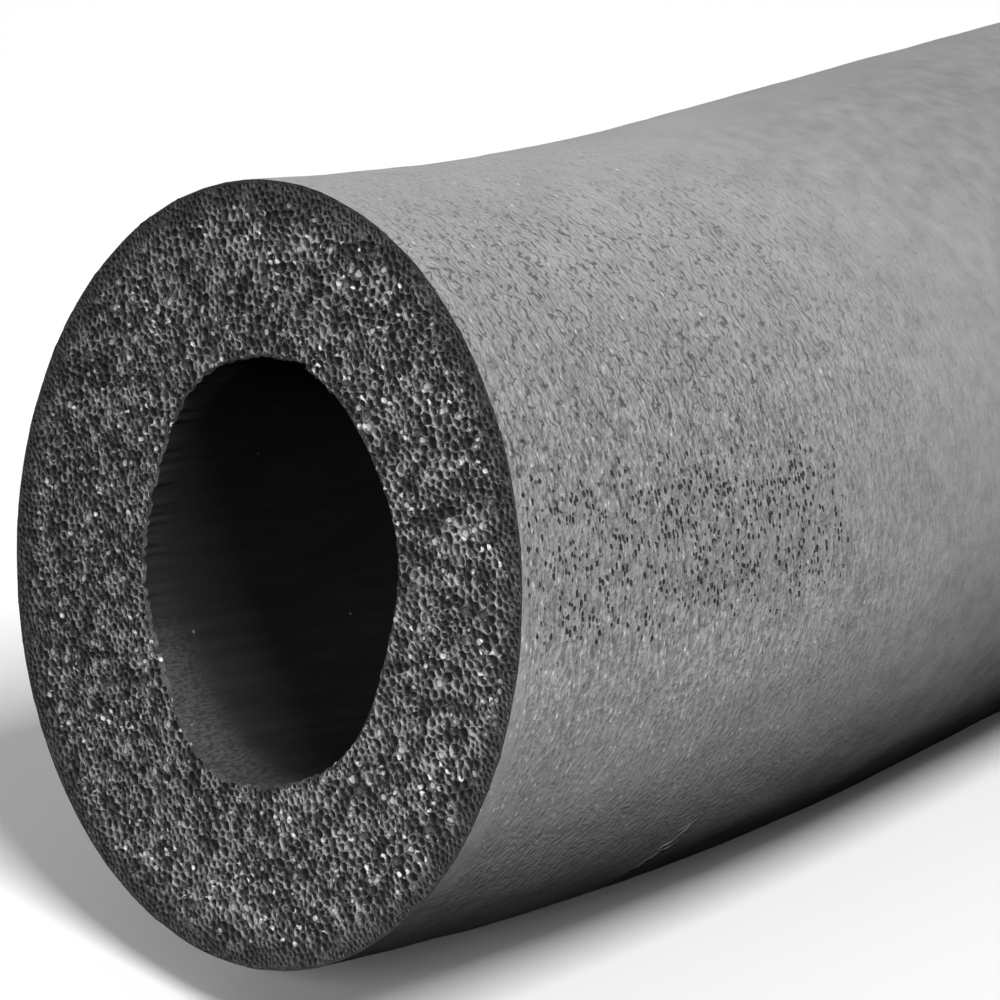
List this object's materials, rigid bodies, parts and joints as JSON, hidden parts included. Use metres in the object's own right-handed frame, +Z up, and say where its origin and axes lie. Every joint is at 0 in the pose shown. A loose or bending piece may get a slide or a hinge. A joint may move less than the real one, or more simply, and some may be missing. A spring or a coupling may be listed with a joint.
{
  "type": "pipe insulation tube",
  "caption": "Straight length of closed-cell rubber foam pipe insulation with an oval bore, lying on its side with a slight bow and one end curled up.",
  "frame": {"origin": "under the middle of the tube, on the floor that it lies on: the bottom centre of the bounding box", "axes": "+X along the tube from the curled near end to the far end, +Y to the side that the ends of the bow point to, +Z up"},
  "size_m": [2.0064, 0.068, 0.0571],
  "materials": {
    "foam_rubber": "matt, dark grey, finely wrinkled skin outside and open cut cells on the ends"
  },
  "bodies": {
    "root": {"insulation_tube": "foam_rubber"}
  },
  "joints": []
}
